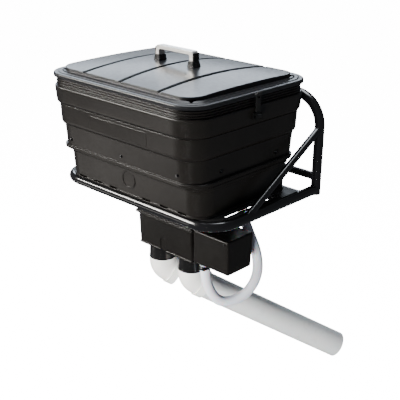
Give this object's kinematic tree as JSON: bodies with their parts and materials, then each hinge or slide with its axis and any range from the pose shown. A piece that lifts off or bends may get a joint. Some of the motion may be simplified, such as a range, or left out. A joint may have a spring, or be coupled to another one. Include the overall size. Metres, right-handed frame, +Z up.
{
  "type": "tailgate salt spreader",
  "caption": "Hitch-carried bulk salt hopper on a tubular frame, with a lift-off lid, a driven metering box, drop spouts with swivel elbows and a discharge tube.",
  "frame": {"origin": "centre of the hitch pin hole through the drawbar", "axes": "+X to the right along the wide front face and along the hitch pin, +Y from the spreader towards the carrying vehicle along the drawbar, +Z up"},
  "size_m": [0.7814, 0.7683, 1.1038],
  "materials": {
    "frame_black": "gloss powder coat",
    "deck_black": "satin powder coat",
    "hopper_plastic": "satin moulded",
    "lid_plastic": "satin moulded",
    "seal_rubber": "matt",
    "handle_metal": "satin",
    "handle_feet": "gloss",
    "steel_hardware": "zinc plated",
    "stainless_sheet": "brushed",
    "latch_bracket": "satin",
    "box_plastic": "satin",
    "spout_gloss": "gloss",
    "rotor_plastic": "satin",
    "motor_alloy": "cast",
    "pipe_white": "semi gloss",
    "tube_white": "semi gloss",
    "hose_clear": "satin"
  },
  "bodies": {
    "spreader_frame": {"base_loop_tube": "frame_black", "rear_hoop_tube": "frame_black", "side_brace_right": "frame_black", "side_brace_left": "frame_black", "hoop_tie_bar": "frame_black", "rear_cross_member": "frame_black", "mid_cross_member": "frame_black", "deck_plate": "deck_black", "hitch_drawbar": "frame_black", "drawbar_gusset_right": "frame_black", "drawbar_gusset_left": "frame_black", "upper_hopper_shell": "hopper_plastic", "lower_hopper_tub": "hopper_plastic", "hopper_funnel": "hopper_plastic", "flow_deflector": "stainless_sheet", "hopper_screws": "steel_hardware", "tub_foot_bolts": "steel_hardware", "latch_anchor_right": "latch_bracket", "latch_anchor_left": "latch_bracket", "latch_pin_right": "steel_hardware", "latch_pin_left": "steel_hardware", "feed_box_upper": "box_plastic", "feed_box_lower": "box_plastic", "feed_box_bolts": "steel_hardware", "bearing_left": "steel_hardware", "bearing_right": "steel_hardware", "spout_right": "spout_gloss", "spout_left": "spout_gloss", "motor_spacer": "deck_black", "motor_base_plate": "deck_black", "motor_cover": "box_plastic", "gearmotor": "motor_alloy", "cover_screws": "steel_hardware", "cable_gland": "spout_gloss", "hose_fitting_upper": "spout_gloss", "hose_fitting_lower": "spout_gloss", "air_hose": "hose_clear", "hose_clamp_upper": "steel_hardware", "hose_clamp_lower": "steel_hardware"},
    "lid": {"lid_shell": "lid_plastic", "lid_seal": "seal_rubber", "lid_stiffener": "lid_plastic", "lid_handle_feet": "handle_feet", "lid_handle_strap": "handle_metal", "lid_handle_screws": "steel_hardware", "lid_keepers": "lid_plastic"},
    "latch_right": {"latch_strap_right": "seal_rubber"},
    "latch_left": {"latch_strap_left": "seal_rubber"},
    "metering_rotor": {"metering_shaft": "steel_hardware", "rotor_left": "rotor_plastic", "rotor_right": "rotor_plastic"},
    "cooling_fan": {"cooling_fan": "rotor_plastic"},
    "discharge_pipe": {"elbow_right": "pipe_white", "discharge_tube": "tube_white"},
    "left_elbow": {"elbow_left": "pipe_white"}
  },
  "joints": [
    {"name": "lid_lift", "type": "slide", "parent": "spreader_frame", "child": "lid", "axis": [0, 0, 1], "range_m": [0, 0.25]},
    {"name": "latch_right_hinge", "type": "hinge", "parent": "spreader_frame", "child": "latch_right", "pos_m": [0.3295, -0.46, 0.33827], "axis": [0, 1, 0], "range_deg": [0, 150]},
    {"name": "latch_left_hinge", "type": "hinge", "parent": "spreader_frame", "child": "latch_left", "pos_m": [-0.3295, -0.46, 0.33827], "axis": [0, -1, 0], "range_deg": [0, 150]},
    {"name": "metering_spin", "type": "hinge", "parent": "spreader_frame", "child": "metering_rotor", "pos_m": [0, -0.46, -0.11373], "axis": [1, 0, 0], "continuous": true},
    {"name": "fan_spin", "type": "hinge", "parent": "spreader_frame", "child": "cooling_fan", "pos_m": [0.257, -0.46, -0.11373], "axis": [1, 0, 0], "continuous": true},
    {"name": "discharge_swivel", "type": "hinge", "parent": "spreader_frame", "child": "discharge_pipe", "pos_m": [0.068, -0.46, -0.24372], "axis": [0, 0, 1], "range_deg": [-10, 40]},
    {"name": "left_elbow_swivel", "type": "hinge", "parent": "spreader_frame", "child": "left_elbow", "pos_m": [-0.068, -0.46, -0.24372], "axis": [0, 0, 1], "range_deg": [-15, 180]}
  ]
}
